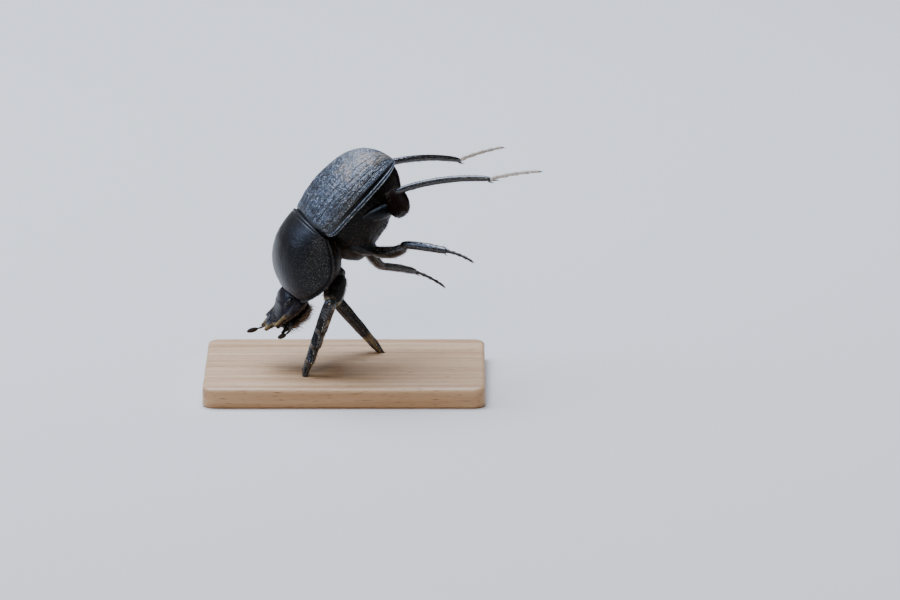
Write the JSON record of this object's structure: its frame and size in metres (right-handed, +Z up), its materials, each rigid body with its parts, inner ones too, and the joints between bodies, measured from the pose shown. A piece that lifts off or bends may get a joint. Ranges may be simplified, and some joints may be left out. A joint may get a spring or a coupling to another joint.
{
  "type": "dung beetle",
  "caption": "Life-size museum model of a large black ball-rolling dung beetle, head down on its forelegs with the mid and hind legs reaching back to push, on a flat wooden display base",
  "frame": {"origin": "centre of the display base's underside", "axes": "+X towards the beetle's tail and hind feet, the way it pushes; +Y towards the beetle's right side; +Z up"},
  "size_m": [0.05, 0.0442, 0.0364],
  "materials": {
    "black_shell": "matt black cuticle with a blue-grey bloom",
    "black_limb": "satin black cuticle",
    "brown_underside": "matt brown-black cuticle",
    "eye_gloss": "glossy",
    "amber_club": "matt brown",
    "dusty_foot": "dusty",
    "pale_wood": "satin"
  },
  "bodies": {
    "root": {"abdomen": "brown_underside", "antenna_club_left": "amber_club", "antenna_club_right": "amber_club", "antenna_left": "black_limb", "antenna_right": "black_limb", "elytron_left": "black_shell", "elytron_right": "black_shell", "eye_left": "eye_gloss", "eye_right": "eye_gloss", "foreleg_coxa_left": "black_limb", "foreleg_coxa_right": "black_limb", "foreleg_femur_left": "black_limb", "foreleg_femur_right": "black_limb", "foreleg_tibia_left": "black_limb", "foreleg_tibia_right": "black_limb", "head": "black_shell", "hindleg_coxa_left": "black_limb", "hindleg_coxa_right": "black_limb", "hindleg_femur_left": "black_limb", "hindleg_femur_right": "black_limb", "hindleg_tarsus_left": "dusty_foot", "hindleg_tarsus_right": "dusty_foot", "hindleg_tibia_left": "black_limb", "hindleg_tibia_right": "black_limb", "maxillary_palp_left": "brown_underside", "maxillary_palp_right": "brown_underside", "metathorax": "brown_underside", "midleg_coxa_left": "black_limb", "midleg_coxa_right": "black_limb", "midleg_femur_left": "black_limb", "midleg_femur_right": "black_limb", "midleg_tarsus_left": "dusty_foot", "midleg_tarsus_right": "dusty_foot", "midleg_tibia_left": "black_limb", "midleg_tibia_right": "black_limb", "mouthparts": "brown_underside", "pronotum": "black_shell", "prosternum": "brown_underside", "pygidium": "brown_underside", "stand_base": "pale_wood"}
  },
  "joints": []
}
